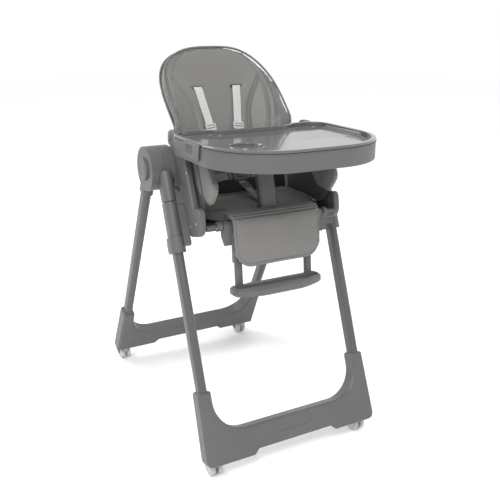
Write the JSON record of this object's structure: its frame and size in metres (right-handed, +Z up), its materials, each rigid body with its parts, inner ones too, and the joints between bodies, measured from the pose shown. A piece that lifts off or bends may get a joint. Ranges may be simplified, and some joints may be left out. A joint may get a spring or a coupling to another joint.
{
  "type": "baby high chair",
  "caption": "Folding baby high chair with padded reclining seat, tray, harness, leg rest with foot bar and casters",
  "frame": {"origin": "on the floor under the middle of the chair's outline", "axes": "+Z up, the seated child faces -Y, +X is the child's left"},
  "size_m": [0.578, 0.9303, 1.0959],
  "materials": {
    "frame_plastic": "satin moulded plastic",
    "frame_tube": "powder-coated tube",
    "eco_leather": "soft matt eco leather",
    "webbing": "woven webbing",
    "pale_webbing": "woven webbing",
    "caster_plastic": "satin moulded plastic",
    "gloss_plastic": "polished plastic",
    "steel": "plain steel"
  },
  "bodies": {
    "front_frame": {"front_base": "frame_plastic", "front_leg_left": "frame_tube", "hub_knuckle_left": "frame_plastic", "hub_pin_left": "steel", "front_leg_right": "frame_tube", "hub_knuckle_right": "frame_plastic", "hub_pin_right": "steel"},
    "rear_frame": {"rear_base": "frame_plastic", "rear_leg_left": "frame_tube", "hub_shell_left": "frame_plastic", "rear_leg_right": "frame_tube", "hub_shell_right": "frame_plastic"},
    "fold_button_left": {"fold_button_left": "frame_plastic"},
    "fold_button_right": {"fold_button_right": "frame_plastic"},
    "seat": {"seat_pan": "frame_plastic", "seat_cushion": "eco_leather", "crotch_post": "frame_plastic", "recline_axle": "steel", "leg_rest_axle": "steel", "buckle": "frame_plastic", "crotch_strap": "webbing", "carriage_left": "frame_plastic", "seat_side_left": "frame_plastic", "side_flap_left": "eco_leather", "waist_strap_left": "webbing", "carriage_right": "frame_plastic", "seat_side_right": "frame_plastic", "side_flap_right": "eco_leather", "waist_strap_right": "webbing"},
    "height_latch_left": {"height_latch_left": "frame_plastic"},
    "height_latch_right": {"height_latch_right": "frame_plastic"},
    "back": {"back_shell": "frame_plastic", "back_cushion": "eco_leather", "shoulder_strap_left": "pale_webbing", "strap_adjuster_left": "frame_plastic", "shoulder_strap_right": "pale_webbing", "strap_adjuster_right": "frame_plastic"},
    "recline_handle": {"recline_handle": "frame_plastic"},
    "leg_rest": {"leg_rest_frame": "frame_plastic", "leg_rest_pad": "eco_leather"},
    "leg_rest_latch_left": {"leg_rest_latch_left": "frame_plastic"},
    "leg_rest_latch_right": {"leg_rest_latch_right": "frame_plastic"},
    "foot_bar": {"foot_bar": "frame_plastic"},
    "tray": {"tray_base": "frame_plastic"},
    "tray_handle": {"tray_handle": "frame_plastic"},
    "tray_lid": {"tray_lid": "gloss_plastic"},
    "lid_latch_left": {"lid_latch_left": "frame_plastic"},
    "lid_latch_right": {"lid_latch_right": "frame_plastic"},
    "buckle_button": {"buckle_button": "frame_plastic"},
    "caster_front_left": {"caster_fork_front_left": "caster_plastic"},
    "wheel_front_left": {"caster_wheel_front_left": "caster_plastic"},
    "caster_front_right": {"caster_fork_front_right": "caster_plastic"},
    "wheel_front_right": {"caster_wheel_front_right": "caster_plastic"},
    "caster_rear_left": {"caster_fork_rear_left": "caster_plastic"},
    "wheel_rear_left": {"caster_wheel_rear_left": "caster_plastic"},
    "brake_left": {"brake_pedal_left": "frame_plastic"},
    "caster_rear_right": {"caster_fork_rear_right": "caster_plastic"},
    "wheel_rear_right": {"caster_wheel_rear_right": "caster_plastic"},
    "brake_right": {"brake_pedal_right": "frame_plastic"}
  },
  "joints": [
    {"name": "rear_frame_fold", "type": "hinge", "parent": "front_frame", "child": "rear_frame", "pos_m": [0, -0.023, 0.785], "axis": [-1, 0, 0], "range_deg": [0, 44]},
    {"name": "fold_button_left_press", "type": "slide", "parent": "rear_frame", "child": "fold_button_left", "axis": [-1, 0, 0], "range_m": [0, 0.006], "stiffness_N_per_m": 400},
    {"name": "fold_button_right_press", "type": "slide", "parent": "rear_frame", "child": "fold_button_right", "axis": [1, 0, 0], "range_m": [0, 0.006], "stiffness_N_per_m": 400},
    {"name": "seat_height", "type": "slide", "parent": "front_frame", "child": "seat", "axis": [0, -0.3584, -0.9336], "range_m": [0, 0.19]},
    {"name": "height_latch_left_press", "type": "slide", "parent": "seat", "child": "height_latch_left", "axis": [0, 0.3584, 0.9336], "range_m": [0, 0.008], "stiffness_N_per_m": 300},
    {"name": "height_latch_right_press", "type": "slide", "parent": "seat", "child": "height_latch_right", "axis": [0, 0.3584, 0.9336], "range_m": [0, 0.008], "stiffness_N_per_m": 300},
    {"name": "back_recline", "type": "hinge", "parent": "seat", "child": "back", "pos_m": [0, 0.04275, 0.67245], "axis": [-1, 0, 0], "range_deg": [0, 28]},
    {"name": "recline_handle_pull", "type": "slide", "parent": "back", "child": "recline_handle", "axis": [0, 0.342, 0.9397], "range_m": [0, 0.01], "stiffness_N_per_m": 300},
    {"name": "leg_rest_lift", "type": "hinge", "parent": "seat", "child": "leg_rest", "pos_m": [0, -0.228, 0.66], "axis": [-1, 0, 0], "range_deg": [0, 70]},
    {"name": "leg_rest_latch_left_press", "type": "slide", "parent": "leg_rest", "child": "leg_rest_latch_left", "axis": [-1, 0, 0], "range_m": [0, 0.002], "stiffness_N_per_m": 300},
    {"name": "leg_rest_latch_right_press", "type": "slide", "parent": "leg_rest", "child": "leg_rest_latch_right", "axis": [1, 0, 0], "range_m": [0, 0.002], "stiffness_N_per_m": 300},
    {"name": "foot_bar_adjust", "type": "slide", "parent": "leg_rest", "child": "foot_bar", "axis": [0, 0.0872, 0.9962], "range_m": [0, 0.04]},
    {"name": "tray_slide", "type": "slide", "parent": "seat", "child": "tray", "axis": [0, -1, 0], "range_m": [0, 0.08]},
    {"name": "tray_handle_pull", "type": "slide", "parent": "tray", "child": "tray_handle", "axis": [0, -1, 0], "range_m": [0, 0.006], "stiffness_N_per_m": 300},
    {"name": "tray_lid_lift", "type": "slide", "parent": "tray", "child": "tray_lid", "axis": [0, 0, 1], "range_m": [0, 0.05]},
    {"name": "lid_latch_left_flip", "type": "hinge", "parent": "tray_lid", "child": "lid_latch_left", "pos_m": [0.23775, 0, 0.8865], "axis": [0, -1, 0], "range_deg": [0, 40]},
    {"name": "lid_latch_right_flip", "type": "hinge", "parent": "tray_lid", "child": "lid_latch_right", "pos_m": [-0.23775, 0, 0.8865], "axis": [0, 1, 0], "range_deg": [0, 40]},
    {"name": "buckle_button_press", "type": "slide", "parent": "seat", "child": "buckle_button", "axis": [0, 0.8192, -0.5736], "range_m": [0, 0.0015], "stiffness_N_per_m": 300},
    {"name": "caster_front_left_swivel", "type": "hinge", "parent": "front_frame", "child": "caster_front_left", "pos_m": [0.234, -0.343, 0.05], "axis": [0, 0, 1], "continuous": true},
    {"name": "wheel_front_left_roll", "type": "hinge", "parent": "caster_front_left", "child": "wheel_front_left", "pos_m": [0.234, -0.328, 0.024], "axis": [1, 0, 0], "continuous": true},
    {"name": "caster_front_right_swivel", "type": "hinge", "parent": "front_frame", "child": "caster_front_right", "pos_m": [-0.234, -0.343, 0.05], "axis": [0, 0, 1], "continuous": true},
    {"name": "wheel_front_right_roll", "type": "hinge", "parent": "caster_front_right", "child": "wheel_front_right", "pos_m": [-0.234, -0.328, 0.024], "axis": [1, 0, 0], "continuous": true},
    {"name": "caster_rear_left_swivel", "type": "hinge", "parent": "rear_frame", "child": "caster_rear_left", "pos_m": [0.234, 0.424, 0.05], "axis": [0, 0, 1], "continuous": true},
    {"name": "wheel_rear_left_roll", "type": "hinge", "parent": "caster_rear_left", "child": "wheel_rear_left", "pos_m": [0.234, 0.439, 0.024], "axis": [1, 0, 0], "continuous": true},
    {"name": "brake_left_lever", "type": "hinge", "parent": "caster_rear_left", "child": "brake_left", "pos_m": [0.234, 0.439, 0.024], "axis": [1, 0, 0], "range_deg": [0, 14]},
    {"name": "caster_rear_right_swivel", "type": "hinge", "parent": "rear_frame", "child": "caster_rear_right", "pos_m": [-0.234, 0.424, 0.05], "axis": [0, 0, 1], "continuous": true},
    {"name": "wheel_rear_right_roll", "type": "hinge", "parent": "caster_rear_right", "child": "wheel_rear_right", "pos_m": [-0.234, 0.439, 0.024], "axis": [1, 0, 0], "continuous": true},
    {"name": "brake_right_lever", "type": "hinge", "parent": "caster_rear_right", "child": "brake_right", "pos_m": [-0.234, 0.439, 0.024], "axis": [1, 0, 0], "range_deg": [0, 14]}
  ]
}
